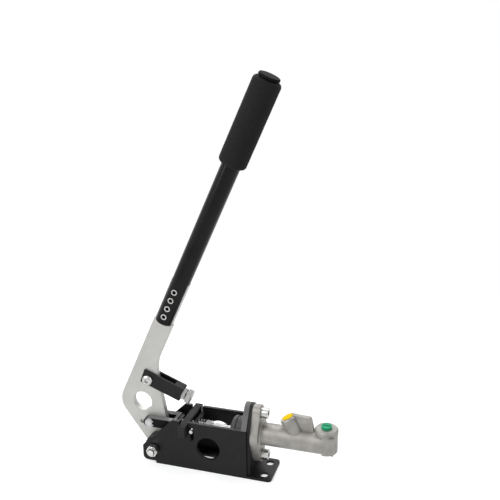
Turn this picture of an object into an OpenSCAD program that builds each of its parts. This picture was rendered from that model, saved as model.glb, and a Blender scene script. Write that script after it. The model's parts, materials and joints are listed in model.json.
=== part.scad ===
// Hydraulic parking brake lever: an upright lever on a steel bracket that pushes a brake master cylinder.
// Origin: centre of the four base holes, on the underside. +X points to the cylinder, +Z up.

/* [Base plate] */
// Thickness of the base plate
base_thick = 3.2; // [2.5:0.1:6]
// Width of the bracket over both side plates
base_width = 46; // [44:0.5:60]
// Distance between front and rear base holes
base_hole_spacing_x = 120; // [110:1:126]
// Distance between left and right base holes
base_hole_spacing_y = 26; // [22:0.5:28]
// Diameter of the base holes
base_hole_d = 10; // [6:0.5:11]
// Base plate in front of the front holes
base_front_reach = 10.8; // [9:0.1:20]
// Base plate behind the rear holes
base_rear_reach = 19.3; // [10:0.1:22]
// Corner radius at the front of the base plate
base_corner_r = 5; // [1:0.5:8]
// Length of the opening in the base plate
base_window_length = 46; // [24:1:60]
// Width of the opening in the base plate
base_window_width = 17; // [8:0.5:22]
// Centre of the opening along the base plate
base_window_x = -31; // [-36:1:-10]

/* [Side plates] */
// Thickness of the side plates
side_thick = 4; // [3:0.5:5]
// Top edge of the side plates above the floor
side_top_z = 64.6; // [63:0.1:80]
// Rear edge of the side plates, behind the origin
side_rear_reach = 96.5; // [94:0.5:110]
// Top of the upright rear edge above the floor
side_rear_z = 23; // [16:0.5:40]
// Rear end of the top edge
side_top_rear_x = -54.5; // [-70:0.5:-50]
// Front end of the side plates, where the flange spacer starts
side_front_x = 40.6; // [39:0.1:42]
// Radius of the lower rear corner
side_corner_r = 6; // [3:0.5:9]
// Diameter of the round window
side_window_d = 30; // [16:0.5:34]
// Centre of the round window along the plate
side_window_x = -8.4; // [-12:0.1:10]
// Height of the round window's centre
side_window_z = 32.5; // [28:0.5:36]

/* [Front plate] */
// Thickness of the front plate
front_thick = 6.6; // [4:0.1:8]
// Top of the front plate above the floor
front_top_z = 91.5; // [90:0.5:100]
// Radius of the front plate's top
front_top_r = 10; // [8:0.5:14]
// Thickness of the spacer under the cylinder flange
spacer_thick = 3.6; // [3:0.1:7]
// How far the spacer stays inside the bracket's sides
spacer_inset = 2; // [0.5:0.1:4]

/* [Cross bar] */
// Right face of the cross bar
cross_bar_x = -34.6; // [-35:0.1:-34.2]
// Width of the cross bar along the bracket
cross_bar_width = 10; // [6:0.5:11]
// Top of the cross bar above the floor
cross_bar_top_z = 61.6; // [61:0.1:63]
// Thickness of the bar between its ends
cross_bar_thick = 4; // [3:0.1:4.2]
// Height of the turned-down ends
cross_bar_end_height = 15; // [8:0.5:20]
// How far each end stands out of its side plate
cross_bar_reach = 8.2; // [4:0.1:12]
// Room on each side of the bar in its notch
cross_bar_gap = 0.6; // [0.2:0.1:1.5]

/* [Pivot] */
// Pivot position along the bracket
pivot_x = -81; // [-83:0.5:-78]
// Pivot height above the floor
pivot_z = 20.5; // [19:0.5:24]
// Diameter of the pivot bolt
pivot_d = 8; // [6:0.5:10]
// Outer diameter of the bush in the lever
bush_d = 12; // [11.5:0.5:16]
// Outer diameter of the spacers beside the lever
pivot_spacer_d = 28.6; // [20:0.1:30]
// Running clearance on the pivot
pivot_clearance = 0.05; // [0.02:0.01:0.1]

/* [Lever plate] */
// Lean of the lever from upright
lever_lean = 24.85; // [20:0.05:30]
// Thickness of the lever plate
lever_thick = 8; // [6:0.5:9]
// Radius of the lever's hub
lever_hub_r = 15.4; // [13:0.1:18]
// Distance from the pivot to the handle's axis
handle_offset = 58.1; // [52:0.1:64]
// Width of the lever plate below the tube
lever_width = 24.8; // [23:0.1:30]
// Slope of the lever's lower edge
lever_heel_angle = 30; // [26:0.5:34]
// Radius of the lever's heel
lever_heel_r = 26; // [10:0.5:30]
// Height of the bend in the front edge above the pivot
lever_bend_u = 97; // [94:0.5:104]
// Radius of that bend
lever_bend_r = 44; // [20:0.5:50]
// Distance of the front edge's waist from the pivot, towards the rear
lever_waist_v = 23.8; // [20:0.1:26]
// Height of the front edge's waist above the pivot
lever_waist_u = 62.5; // [58:0.1:66]
// Diameter of the round hole in the lever
lever_window_d = 25.4; // [20:0.1:28]
// Centre of the round hole, towards the rear
lever_window_v = 41.9; // [39:0.1:46]
// Centre of the round hole, above the pivot
lever_window_u = 39.7; // [39:0.1:46]
// Diameter of the small spare hole
lever_small_hole_d = 5.2; // [3:0.1:6]
// Small hole behind the clevis pin
lever_small_hole_back = 14.4; // [12:0.1:16]
// Small hole below the clevis pin
lever_small_hole_drop = 5; // [0:0.1:6]

/* [Handle] */
// Outer diameter of the handle tube
tube_d = 22.2; // [20:0.1:25]
// Wall of the handle tube
tube_wall = 2; // [1:0.1:3]
// Lower end of the tube above the pivot
tube_start_u = 155.9; // [145:0.1:160]
// Length of the slot that takes the lever plate
tube_slot_length = 59.6; // [50:0.1:70]
// Length of the handle tube
tube_length = 317.1; // [250:0.1:360]
// Outer diameter of the foam grip
grip_d = 33; // [28:0.5:40]
// Length of the foam grip
grip_length = 102; // [70:1:140]
// Rounding of the grip's ends
grip_round = 5; // [2:0.5:8]
// Diameter of the plug in the top of the tube
plug_d = 25; // [22.5:0.5:29]
// Height of the plug above the tube
plug_height = 4.4; // [4.2:0.1:14]
// Pitch of the four tube screws
screw_pitch = 12; // [10:0.1:13]
// Lowest tube screw above the tube's lower end
screw_first = 10.4; // [8:0.1:12]
// Diameter of the tube screws
screw_d = 5; // [4:0.5:6]
// Diameter of the tube screws' heads
screw_head_d = 7.4; // [7:0.1:9.5]

/* [Stop arm] */
// Length of the stop arm
arm_length = 55.4; // [46:0.1:60]
// Height of the stop arm
arm_height = 18.4; // [15:0.1:20]
// Thickness of each cheek of the arm's fork
arm_cheek = 2.2; // [1.8:0.1:5]
// Length of the solid end of the arm
arm_solid = 13; // [9:0.5:16]
// Tilt of the arm against the lever
arm_tilt = 3.5; // [0:0.5:7]
// Arm bolt, towards the rear of the pivot
arm_bolt_v = 46.4; // [45:0.1:50]
// Arm bolt above the pivot
arm_bolt_u = 72.4; // [71:0.1:76]
// Arm bolt from the arm's rear end
arm_bolt_inset = 8.5; // [7:0.1:12]
// Arm bolt above the arm's lower edge
arm_bolt_rise = 6.4; // [6:0.1:9]
// Diameter of the arm bolt
arm_bolt_d = 8; // [6:0.5:8]
// Diameter of the stop screw
stop_screw_d = 8; // [6:0.5:10]
// Width of the stop screw's head across its flats
stop_head_flats = 17; // [13:0.5:18]
// Thickness of the stop screw's head
stop_head_thick = 6; // [4:0.1:8]
// Bare thread between the stop screw's nut and head
stop_screw_gap = 1.4; // [0:0.1:6]
// Width of the stop screw's lock nut across its flats
stop_nut_flats = 14; // [13:0.5:17]
// Thickness of the stop screw's lock nut
stop_nut_thick = 4.4; // [4:0.1:7]

/* [Push rod] */
// Clevis pin behind the pivot
clevis_pin_back = 9.5; // [9:0.1:13]
// Clevis pin above the pivot
clevis_pin_rise = 29.2; // [27.2:0.1:29.6]
// Diameter of the clevis pin
clevis_pin_d = 8; // [6:0.5:8]
// How far the clevis pin's ends stand out
clevis_pin_proud = 1.8; // [1.6:0.1:4]
// Thickness of the clips on the clevis pin
clip_thick = 1; // [0.6:0.1:1.2]
// Height of the clevis
clevis_height = 11.8; // [10.5:0.1:12]
// Thickness of each clevis cheek
clevis_cheek = 8; // [4:0.1:9]
// Room between lever plate and clevis cheek
clevis_gap = 0.4; // [0.3:0.1:1]
// Clevis pin to the front end of the clevis
clevis_reach = 40; // [38:0.5:41]
// Clevis pin to the rear end of the clevis
clevis_tail = 8.6; // [6.5:0.1:10]
// Length of the solid front end of the clevis
clevis_solid = 9.5; // [6:0.5:12]
// Diameter of the push rod
rod_d = 8; // [6:0.5:8]
// Clevis pin to the centre of the rod's ball
rod_reach = 128.5; // [127:0.1:131]
// Diameter of the ball end
ball_d = 10; // [9:0.5:11]
// Length of the spring between the guide and its nut
rod_spring_length = 11.6; // [6:0.1:14]
// Turns of that spring
rod_spring_turns = 3; // [2:1:4]
// Thickness of the spring nut
rod_nut_thick = 6.2; // [4:0.1:8]
// Width of the spring nut across its flats
rod_nut_flats = 13; // [11:0.5:16]
// Outer diameter of the spring on the rod
rod_spring_d = 15; // [13:0.1:17]
// Wire diameter of that spring
rod_spring_wire = 1.4; // [1:0.1:2.2]
// Centre of the rod guide along the bracket
guide_x = -29.8; // [-31:0.1:-29]
// Thickness of the rod guide
guide_thick = 5.5; // [5.1:0.1:7]
// Height of the rod guide
guide_height = 13; // [12:0.5:15]
// Thickness left behind the spring's seat in the guide
guide_web = 3; // [2:0.1:4]
// Room between rod and guide
guide_clearance = 0.7; // [0.6:0.1:1]
// Diameter of the guide's stub pins
guide_pin_d = 5; // [4:0.5:5]
// Height of the stub pins above the rod's axis
guide_pin_rise = 2.6; // [2:0.1:3.2]
// Room between a stub pin and its slot
guide_slot_gap = 0.5; // [0.3:0.1:1]
// How far a stub pin stands out of its side plate
guide_pin_reach = 1.6; // [0.5:0.1:4]
// Lower end of the upright slots
slot_bottom_z = 40; // [38:0.1:44]
// Upper end of the upright slots
slot_top_z = 58.6; // [58.5:0.1:60]
// Width of the open slit in the other side plate
slit_width = 2.4; // [1:0.1:3]
// Rear edge of the slit in front of the cross bar
slit_ahead = 2; // [1.8:0.1:3]
// Bottom of the slit
slit_bottom_z = 52.5; // [50:0.1:60]

/* [Master cylinder] */
// Height of the cylinder's axis
cylinder_z = 51.9; // [51:0.1:53]
// Outer diameter of the barrel
barrel_d = 27.2; // [25:0.1:32]
// Diameter of the cylinder bore
bore_d = 19.05; // [17:0.05:20]
// Length of the nose behind the flange
nose_length = 16.2; // [15:0.1:18]
// Thickness of the flange
flange_thick = 9.6; // [6:0.1:12]
// Distance between the two flange bolts
flange_bolt_spacing = 57.15; // [56:0.05:60]
// Diameter of the flange bolts
flange_bolt_d = 8; // [6:0.5:8]
// Radius of the flange's ends
flange_end_r = 9.6; // [8.5:0.1:11]
// Radius of the flange's middle
flange_mid_r = 20.6; // [16:0.1:22]
// Outlet axis from the flange's rear face
outlet_x_reach = 89.3; // [85:0.1:110]
// Diameter of the outlet boss
outlet_d = 28; // [24:0.5:32]
// Top of the outlet boss above the cylinder axis
outlet_rise = 20.5; // [18:0.5:26]
// How far the boss's column reaches back from its axis
column_back = 3; // [2:0.1:6]
// Start of the column's cast pad after its axis
pad_start = 1; // [-5:0.1:2]
// Width of the column's cast pad
pad_width = 10; // [8:0.1:11]
// Foot of the inlet boss from the flange's rear face
inlet_x_reach = 55.9; // [52:0.1:58]
// Lean of the inlet boss towards the flange
inlet_lean = 27; // [15:1:30]
// Length of the inlet boss from the cylinder axis
inlet_length = 30.8; // [26:0.1:36]
// Diameter of the inlet boss
inlet_d = 20.4; // [14:0.1:22]
// Diameter of the two ports
port_d = 9.6; // [8:0.1:11]
// Diameter of the inlet plug's cap
inlet_plug_d = 13.8; // [11:0.1:18]
// Diameter of the outlet plug's cap
outlet_plug_d = 12.6; // [11:0.1:18]
// Height of the outlet plug's cap
outlet_plug_height = 3.4; // [1:0.1:6]
// Length of the rib behind the inlet boss
rib_length = 14.8; // [10:0.1:22]
// Height of the rib above the cylinder axis
rib_rise = 31.5; // [24:0.1:34]
// Width of the rib
rib_width = 5.6; // [4:0.1:14]

/* [Piston] */
// Length of the piston
piston_length = 57; // [50:0.5:58]
// Running clearance of the piston in the bore
piston_clearance = 0.05; // [0.02:0.01:0.1]
// Room between ball and piston cup
ball_clearance = 0.75; // [0.6:0.05:1]
// Thickness of the two rubber seals
seal_thick = 4; // [3:0.1:5]
// Rear seal's groove behind the piston's rear end
seal_back = 16; // [14:0.5:20]
// Thickness of the stop washer
stop_washer_thick = 1.2; // [0.8:0.1:2]
// Thickness of the circlip
circlip_thick = 1.2; // [0.8:0.1:2]
// Outer diameter of the return spring
return_spring_d = 15; // [12:0.1:16]
// Wire diameter of the return spring
return_spring_wire = 1.6; // [1:0.1:2]
// Full turns of the return spring
return_spring_turns = 8; // [5:1:12]

/* [Dust boot] */
// Outer diameter of the dust boot
boot_d = 34.8; // [32:0.1:36]
// Length of the dust boot in front of the cylinder's nose
boot_length = 13; // [8:0.5:15]
// Wall of the dust boot
boot_wall = 2; // [1:0.1:2.5]
// Room between the push rod and the boot's lip
boot_gap = 1.3; // [1:0.1:2]

/* [Fasteners] */
// Width of the nuts across their flats
nut_flats = 13; // [11:0.5:15]
// Height of the nuts
nut_height = 6.2; // [4:0.1:8]
// Height of the lock nut's collar
nut_collar_height = 2; // [1:0.1:3]
// Height of the pivot bolt's head
bolt_head_height = 5.3; // [3:0.1:7]
// How far a bolt's end stands out of its nut
bolt_proud = 1.6; // [0.5:0.1:4]
// Outer diameter of the pivot washers
washer_d = 14.6; // [14:0.1:18]
// Thickness of the washers
washer_thick = 1.6; // [1:0.1:2.5]
// Diameter of the flange bolts' heads
cap_head_d = 13; // [11:0.1:15]
// Height of the flange bolts' heads
cap_head_height = 7; // [5:0.1:9]
// Outer diameter of the flange bolts' washers
cap_washer_d = 14.4; // [13:0.1:16]
// Width of the hexagon sockets
socket_flats = 6; // [4:0.1:8]

/* [Hidden] */
$fn = 64;

// Through cuts overrun by this much
cut = 1;
half_width = base_width / 2;
inner_half = half_width - side_thick;
front_x = side_front_x - front_thick;
flange_x = side_front_x + spacer_thick;
thread_gap = 0.05;
slide_gap = 0.1;
clip_gap = 0.3;
plug_depth = 12;
guide_spring_gap = 0.3;
hex_corner = 1 / cos(30);

// Push rod line from the clevis pin to the ball on the cylinder's axis
pin_x = pivot_x - clevis_pin_back;
pin_z = pivot_z + clevis_pin_rise;
rod_tilt = asin((cylinder_z - pin_z) / rod_reach);
ball_x = pin_x + rod_reach * cos(rod_tilt);
guide_rod_z = pin_z + (guide_x - pin_x) * tan(rod_tilt);
guide_pin_z = guide_rod_z + guide_pin_rise;
guide_pin_root_y = guide_pin_d - inner_half;
guide_seat_x = guide_x - guide_thick / 2 + guide_web;
rod_spring_x = (guide_seat_x - pin_x) / cos(rod_tilt) + guide_spring_gap;
rod_nut_reach = rod_spring_x + rod_spring_length;
clevis_half = lever_thick / 2 + clevis_gap + clevis_cheek;
arm_half = lever_thick / 2 + arm_cheek;

// Master cylinder stations along X
nose_x = flange_x - nose_length;
bore_end_x = flange_x + outlet_x_reach - 6;
circlip_x = nose_x + 1.6;
stop_washer_x = circlip_x + circlip_thick;
piston_x = stop_washer_x + stop_washer_thick;
piston_end_x = piston_x + piston_length;
boot_x = nose_x - boot_length;
boot_lip_r = rod_d / 2 + boot_gap;
outlet_x = flange_x + outlet_x_reach;
inlet_x = flange_x + inlet_x_reach;

// Points on an arc
function arc(c, r, from, to, n = 24) =
    [for (i = [0:n]) c + r * [cos(from + (to - from) * i / n), sin(from + (to - from) * i / n)]];

// Arc that rounds the corner p between its neighbours a and b
function fillet(a, p, b, r, n = 14) =
    let (u = (a - p) / norm(a - p), w = (b - p) / norm(b - p), half = acos(u * w) / 2)
    let (c = p + (u + w) / norm(u + w) * r / sin(half))
    let (s = p + u * r / tan(half) - c, e = p + w * r / tan(half) - c)
    let (from = atan2(s[1], s[0]), turn = atan2(e[1], e[0]) - from)
    let (sweep = turn > 180 ? turn - 360 : turn < -180 ? turn + 360 : turn)
    arc(c, r, from, from + sweep, n);

// Angle on a circle of radius r about the origin where the line to p touches it, on the right-hand side
function tangent_angle(p, r) = atan2(p[1], p[0]) - acos(r / norm(p));

// Ring of points across a helix along X
function coil_ring(t, x0, length, turns, mean_r, wire, sides) =
    let (a = 360 * turns * t, x = x0 + wire / 2 + (length - wire) * t)
    [for (k = [0:sides - 1]) let (b = 360 * k / sides, r = mean_r + wire / 2 * cos(b))
        [x + wire / 2 * sin(b), r * cos(a), r * sin(a)]];

// Coil spring along X from x0
module coil(x0, length, turns, outer_d, wire) {
    sides = 8;
    rings = turns * 14;
    points = [for (i = [0:rings])
        each coil_ring(i / rings, x0, length, turns, (outer_d - wire) / 2, wire, sides)];
    walls = [for (i = [0:rings - 1], k = [0:sides - 1])
        [i * sides + k, (i + 1) * sides + k, (i + 1) * sides + (k + 1) % sides, i * sides + (k + 1) % sides]];
    first = [for (k = [0:sides - 1]) k];
    last = [for (k = [sides - 1:-1:0]) rings * sides + k];
    polyhedron(points, concat([first], walls, [last]), convexity = 8);
}

// Cylinder along Y between two Y values
module round_y(r, y0, y1, x = 0, z = 0) {
    translate([x, y0, z]) rotate([-90, 0, 0]) cylinder(r = r, h = y1 - y0);
}

// Cylinder along X between two X values
module round_x(r, x0, x1, y = 0, z = 0) {
    translate([x0, y, z]) rotate([0, 90, 0]) cylinder(r = r, h = x1 - x0);
}

// Hexagon prism along X
module hex_x(flats, x0, x1) {
    translate([x0, 0, 0]) rotate([0, 90, 0]) cylinder(r = flats / 2 * hex_corner, h = x1 - x0, $fn = 6);
}

// Hexagon prism along Y
module hex_y(flats, y0, y1) {
    translate([0, y0, 0]) rotate([-90, 0, 0]) cylinder(r = flats / 2 * hex_corner, h = y1 - y0, $fn = 6);
}

// Hexagon nut or head along Y with chamfered corners
module nut_y(flats, y0, y1) {
    r = flats / 2;
    height = y1 - y0;
    chamfer = r * (hex_corner - 1);
    intersection() {
        hex_y(flats, y0, y1);
        translate([0, y0, 0]) rotate([-90, 0, 0]) rotate_extrude()
            polygon([[0, 0], [r, 0], [r + 2 * chamfer, chamfer], [r + 2 * chamfer, height - chamfer],
                [r, height], [0, height]]);
    }
}

// Hexagon nut or head along X with chamfered corners
module nut_x(flats, x0, x1) {
    r = flats / 2;
    chamfer = r * (hex_corner - 1);
    intersection() {
        hex_x(flats, x0, x1);
        turned_x([[x0, 0], [x0, r], [x0 + chamfer, r + 2 * chamfer], [x1 - chamfer, r + 2 * chamfer],
            [x1, r], [x1, 0]]);
    }
}

// Outline in X and Z, extruded along Y
module slab_y(y0, y1) {
    translate([0, y1, 0]) rotate([90, 0, 0]) linear_extrude(y1 - y0) children();
}

// Outline in Y and Z, extruded along X
module slab_x(x0, x1) {
    translate([x0, 0, 0]) rotate([90, 0, 90]) linear_extrude(x1 - x0) children();
}

// Profile of radius over length, turned about the X axis
module turned_x(points) {
    rotate([0, 90, 0]) rotate_extrude() polygon([for (p = points) [p[1], p[0]]]);
}

// Frame of the lever: pivot at the origin, Z along the handle
module lever_frame() {
    translate([pivot_x, 0, pivot_z]) rotate([0, lever_lean, 0]) children();
}

// Frame of the stop arm: bolt at the origin, X along the arm
module arm_frame() {
    lever_frame() translate([-arm_bolt_v, 0, arm_bolt_u]) rotate([0, -arm_tilt, 0]) children();
}

// Frame of the push rod: clevis pin at the origin, X along the rod
module rod_frame() {
    translate([pin_x, 0, pin_z]) rotate([0, -rod_tilt, 0]) children();
}

// Frame on the handle's axis, Z along the tube
module handle_frame() {
    lever_frame() translate([-handle_offset, 0, 0]) children();
}

// Frame of the inlet boss: foot on the cylinder axis, Z out of the port
module inlet_frame() {
    translate([inlet_x, 0, cylinder_z]) rotate([0, -inlet_lean, 0]) children();
}

module base_plate() {
    front = base_hole_spacing_x / 2 + base_front_reach;
    rear = -base_hole_spacing_x / 2 - base_rear_reach;
    outline = concat([[rear, -half_width]],
        fillet([rear, -half_width], [front, -half_width], [front, half_width], base_corner_r),
        fillet([front, -half_width], [front, half_width], [rear, half_width], base_corner_r),
        [[rear, half_width]]);
    straight = base_window_length - base_window_width;
    color("#26262a") difference() {
        linear_extrude(base_thick) polygon(outline);
        for (sx = [-1, 1], sy = [-1, 1])
            translate([sx * base_hole_spacing_x / 2, sy * base_hole_spacing_y / 2, -cut])
                cylinder(d = base_hole_d, h = base_thick + 2 * cut);
        for (s = [-1, 1])
            translate([base_window_x + s * straight / 2, 0, -cut])
                cylinder(d = base_window_width, h = base_thick + 2 * cut);
        translate([base_window_x - straight / 2, -base_window_width / 2, -cut])
            cube([straight, base_window_width, base_thick + 2 * cut]);
    }
}

module side_plate_outline() {
    rear = -side_rear_reach;
    polygon(concat([[side_front_x, base_thick], [side_front_x, side_top_z], [side_top_rear_x, side_top_z]],
        fillet([side_top_rear_x, side_top_z], [rear, side_rear_z], [rear, base_thick], 3),
        fillet([rear, side_rear_z], [rear, base_thick], [0, base_thick], side_corner_r)));
}

module side_plate(y0) {
    y1 = y0 + side_thick;
    notch_z = cross_bar_top_z - cross_bar_thick;
    notch_width = cross_bar_width + 2 * cross_bar_gap;
    difference() {
        slab_y(y0, y1) side_plate_outline();
        round_y(side_window_d / 2, y0 - cut, y1 + cut, side_window_x, side_window_z);
        round_y(pivot_d / 2 + slide_gap, y0 - cut, y1 + cut, pivot_x, pivot_z);
        translate([cross_bar_x - cross_bar_width - cross_bar_gap, y0 - cut, notch_z])
            cube([notch_width, side_thick + 2 * cut, side_top_z - notch_z + cut]);
    }
}

// The left plate has the closed slot that the guide's pin runs in
module left_side_plate() {
    slot_r = guide_pin_d / 2 + guide_slot_gap;
    y0 = -half_width - cut;
    y1 = -inner_half + cut;
    color("#29292d") difference() {
        side_plate(-half_width);
        for (z = [slot_bottom_z + slot_r, slot_top_z - slot_r]) round_y(slot_r, y0, y1, guide_x, z);
        translate([guide_x - slot_r, y0, slot_bottom_z + slot_r])
            cube([2 * slot_r, y1 - y0, slot_top_z - slot_bottom_z - 2 * slot_r]);
    }
}

// The right plate has a narrow slit, open at the top
module right_side_plate() {
    color("#29292d") difference() {
        side_plate(inner_half);
        translate([cross_bar_x + slit_ahead, inner_half - cut, slit_bottom_z])
            cube([slit_width, side_thick + 2 * cut, side_top_z - slit_bottom_z + cut]);
    }
}

// Outline of the front plates: half the width below and above the side plates' top
module front_outline(low_half, high_half) {
    c = [0, front_top_z - front_top_r];
    shoulder = [high_half, side_top_z];
    touch = atan2(shoulder[1] - c[1], shoulder[0]) + acos(front_top_r / norm(shoulder - c));
    polygon(concat([[-low_half, base_thick], [low_half, base_thick], [low_half, side_top_z], shoulder],
        arc(c, front_top_r, touch, 180 - touch), [[-high_half, side_top_z], [-low_half, side_top_z]]));
}

module front_plate() {
    color("#3a3a3e") difference() {
        slab_x(front_x, side_front_x) front_outline(inner_half, half_width);
        round_x(barrel_d / 2 + slide_gap, front_x - cut, side_front_x + cut, 0, cylinder_z);
        for (s = [-1, 1])
            round_x(flange_bolt_d / 2 + thread_gap, front_x - cut, side_front_x + cut, 0,
                cylinder_z + s * flange_bolt_spacing / 2);
    }
}

module flange_spacer() {
    half = half_width - spacer_inset;
    color("#151517") difference() {
        slab_x(side_front_x, flange_x) front_outline(half - slide_gap, half);
        round_x(barrel_d / 2 + slide_gap, side_front_x - cut, flange_x + cut, 0, cylinder_z);
        for (s = [-1, 1])
            round_x(flange_bolt_d / 2 + slide_gap, side_front_x - cut, flange_x + cut, 0,
                cylinder_z + s * flange_bolt_spacing / 2);
    }
}

module cross_bar() {
    left = cross_bar_x - cross_bar_width;
    end_z = cross_bar_top_z - cross_bar_end_height;
    middle_z = cross_bar_top_z - cross_bar_thick;
    half = half_width + cross_bar_reach;
    color("#38383c") {
        slab_x(left, cross_bar_x) polygon([[-half, end_z], [-half_width, end_z], [-half_width, middle_z],
            [half_width, middle_z], [half_width, end_z], [half, end_z], [half, cross_bar_top_z],
            [-half, cross_bar_top_z]]);
    }
}

module pivot_bolt() {
    seat = half_width + washer_thick;
    tip = seat + nut_height + nut_collar_height + bolt_proud;
    color("#c9ccd0") translate([pivot_x, 0, pivot_z]) {
        round_y(pivot_d / 2, -tip, seat);
        nut_y(nut_flats, seat, seat + bolt_head_height);
    }
}

module pivot_nut() {
    seat = half_width + washer_thick;
    top = seat + nut_height;
    collar_r = nut_flats * 0.45;
    color("#d4d7da") translate([pivot_x, 0, pivot_z]) difference() {
        union() {
            nut_y(nut_flats, -top, -seat);
            round_y(collar_r, -top - nut_collar_height, -top + cut);
        }
        round_y(pivot_d / 2 + thread_gap, -top - 2 * nut_collar_height, -seat + cut);
        round_y((pivot_d / 2 + collar_r) / 2, -top - 2 * nut_collar_height, -top);
    }
}

module pivot_washers() {
    color("#2c2c30") translate([pivot_x, 0, pivot_z])
        for (y = [-half_width - washer_thick, half_width]) difference() {
            round_y(washer_d / 2, y, y + washer_thick);
            round_y(pivot_d / 2 + slide_gap, y - cut, y + washer_thick + cut);
        }
}

module pivot_spacers() {
    inner = lever_thick / 2 + slide_gap;
    color("#1a1a1c") translate([pivot_x, 0, pivot_z])
        for (span = [[-inner_half, -inner], [inner, inner_half]]) difference() {
            round_y(pivot_spacer_d / 2, span[0], span[1]);
            round_y(pivot_d / 2 + pivot_clearance, span[0] - cut, span[1] + cut);
        }
}

module flange_outline() {
    hull() {
        translate([0, cylinder_z]) circle(flange_mid_r);
        for (s = [-1, 1]) translate([0, cylinder_z + s * flange_bolt_spacing / 2]) circle(flange_end_r);
    }
}

module cylinder_body() {
    r = barrel_d / 2;
    root = 2;
    face = flange_x + flange_thick;
    rim = 1.5;
    foot_z = cylinder_z - r + 3.2;
    pad_z = foot_z + 2.4;
    pad_front = outlet_d / 2 - 0.4;
    disc_z = cylinder_z + r - 0.6;
    boss_top = cylinder_z + outlet_rise;
    column_d = outlet_d - 1;
    foot_x = inlet_x + rib_length;
    color("#b9b8b3") difference() {
        union() {
            slab_x(flange_x, face) flange_outline($fn = 48);
            translate([0, 0, cylinder_z]) turned_x(concat([[nose_x, 0], [nose_x, r - 1], [nose_x + 1, r],
                [face, r], [face, r + root]],
                [for (a = [80:-20:0]) [face + root - root * sin(a), r + root - root * cos(a)]],
                [[outlet_x, r], [outlet_x, 0]]));
            intersection() {
                union() {
                    translate([outlet_x, 0, foot_z]) cylinder(d1 = column_d - 2 * rim, d2 = column_d, h = rim);
                    translate([outlet_x, 0, foot_z + rim]) cylinder(d = column_d, h = disc_z - foot_z);
                }
                translate([outlet_x - column_back, -outlet_d, foot_z - cut])
                    cube([outlet_d, 2 * outlet_d, outlet_rise + r]);
            }
            translate([outlet_x, 0, disc_z]) cylinder(d1 = column_d - rim, d2 = outlet_d, h = rim);
            translate([outlet_x, 0, disc_z + rim]) cylinder(d = outlet_d, h = boss_top - disc_z - 2 * rim);
            translate([outlet_x, 0, boss_top - rim]) cylinder(d1 = outlet_d, d2 = outlet_d - 2 * rim, h = rim);
            translate([outlet_x + pad_start, -pad_front, pad_z])
                cube([pad_width, pad_front - column_d / 4, disc_z + rim - pad_z]);
            inlet_frame() cylinder(d = inlet_d, h = inlet_length - 1);
            inlet_frame() translate([0, 0, inlet_length - 1]) cylinder(d1 = inlet_d, d2 = inlet_d - 2, h = 1);
            slab_y(-rib_width / 2, rib_width / 2) polygon([[inlet_x - inlet_d / 3, cylinder_z + 4],
                [foot_x + 6, cylinder_z + 4], [foot_x + 0.5, cylinder_z + rib_rise - 2],
                [foot_x - 1.5, cylinder_z + rib_rise],
                [inlet_x - inlet_length * sin(inlet_lean) + inlet_d / 3, cylinder_z + rib_rise + 0.6]]);
        }
        round_x(bore_d / 2, nose_x - cut, bore_end_x, 0, cylinder_z);
        round_x(bore_d / 2 + 0.8, circlip_x, circlip_x + circlip_thick, 0, cylinder_z);
        for (s = [-1, 1])
            round_x(flange_bolt_d / 2 + slide_gap, flange_x - cut, face + cut, 0,
                cylinder_z + s * flange_bolt_spacing / 2);
        inlet_frame() translate([0, 0, inlet_length - plug_depth]) cylinder(d = port_d, h = plug_depth + cut);
        inlet_frame() cylinder(d = 2.6, h = inlet_length);
        translate([outlet_x, 0, cylinder_z]) cylinder(d = port_d, h = outlet_rise + cut);
        round_x(3, bore_end_x - cut, outlet_x, 0, cylinder_z);
    }
}

module inlet_plug() {
    color("#e8b400") inlet_frame() {
        translate([0, 0, inlet_length - plug_depth + 1])
            cylinder(d = port_d - 2 * slide_gap, h = plug_depth - 1);
        translate([0, 0, inlet_length]) cylinder(d = inlet_plug_d, h = 0.8);
    }
}

module outlet_plug() {
    top = cylinder_z + outlet_rise;
    color("#1fa36b") translate([outlet_x, 0, 0]) difference() {
        union() {
            translate([0, 0, top - plug_depth + 1])
                cylinder(d = port_d - 2 * slide_gap, h = plug_depth - 1);
            translate([0, 0, top]) cylinder(d = outlet_plug_d, h = outlet_plug_height);
        }
        translate([-outlet_plug_d * 0.36, -0.9, top + outlet_plug_height / 2])
            cube([outlet_plug_d * 0.72, 1.8, outlet_plug_height]);
    }
}

// Head of a socket cap screw along +X, with its hexagon socket
module socket_head_x(d, x0, height, socket) {
    difference() {
        round_x(d / 2, x0, x0 + height);
        hex_x(socket, x0 + height / 2, x0 + height + cut);
    }
}

module flange_bolts() {
    seat = flange_x + flange_thick + washer_thick;
    color("#c9ccd0") for (s = [-1, 1]) translate([0, 0, cylinder_z + s * flange_bolt_spacing / 2]) {
        round_x(flange_bolt_d / 2, front_x, seat);
        socket_head_x(cap_head_d, seat, cap_head_height, socket_flats);
    }
}

module flange_washers() {
    seat = flange_x + flange_thick;
    color("#b5b8bc") for (s = [-1, 1])
        translate([0, 0, cylinder_z + s * flange_bolt_spacing / 2]) difference() {
            round_x(cap_washer_d / 2, seat, seat + washer_thick);
            round_x(flange_bolt_d / 2 + slide_gap, seat - cut, seat + washer_thick + cut);
        }
}

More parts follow.
